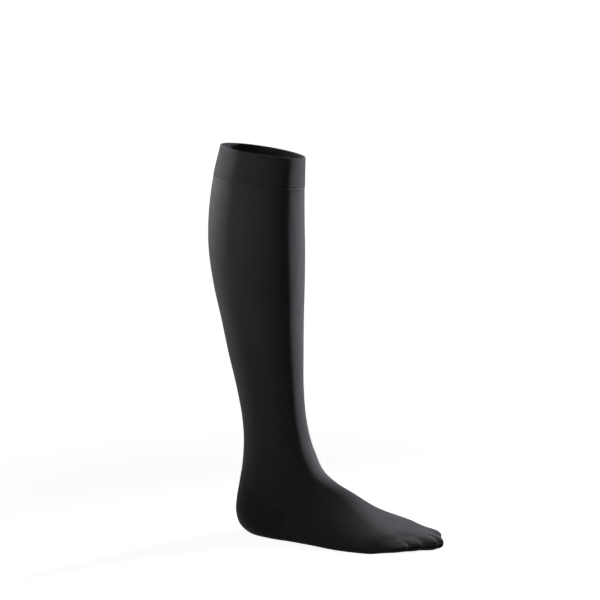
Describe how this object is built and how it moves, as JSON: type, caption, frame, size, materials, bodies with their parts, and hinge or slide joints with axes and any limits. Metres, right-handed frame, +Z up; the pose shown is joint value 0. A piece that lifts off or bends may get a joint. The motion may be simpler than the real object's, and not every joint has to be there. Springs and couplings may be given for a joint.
{
  "type": "compression stocking",
  "caption": "Knee-high compression stocking in its worn form: a hollow knitted leg and foot with an elastic top band, a heel pocket and a closed toe cap.",
  "frame": {"origin": "centre of the top band, half way down it, inside the opening that the leg fills", "axes": "+X towards the toes, +Z up along the shin towards the rim, -Y towards the little toe; the sole is in the plane z = -0.414 m"},
  "size_m": [0.272, 0.1032, 0.4381],
  "materials": {
    "band_knit": "matt, dense elastic knit, charcoal",
    "leg_knit": "fine smooth knit with a soft sheen, charcoal",
    "reinforced_knit": "thicker plain knit, charcoal"
  },
  "bodies": {
    "root": {"top_band": "band_knit", "leg_and_foot": "leg_knit", "heel_pocket": "reinforced_knit", "toe_cap": "reinforced_knit"}
  },
  "joints": []
}
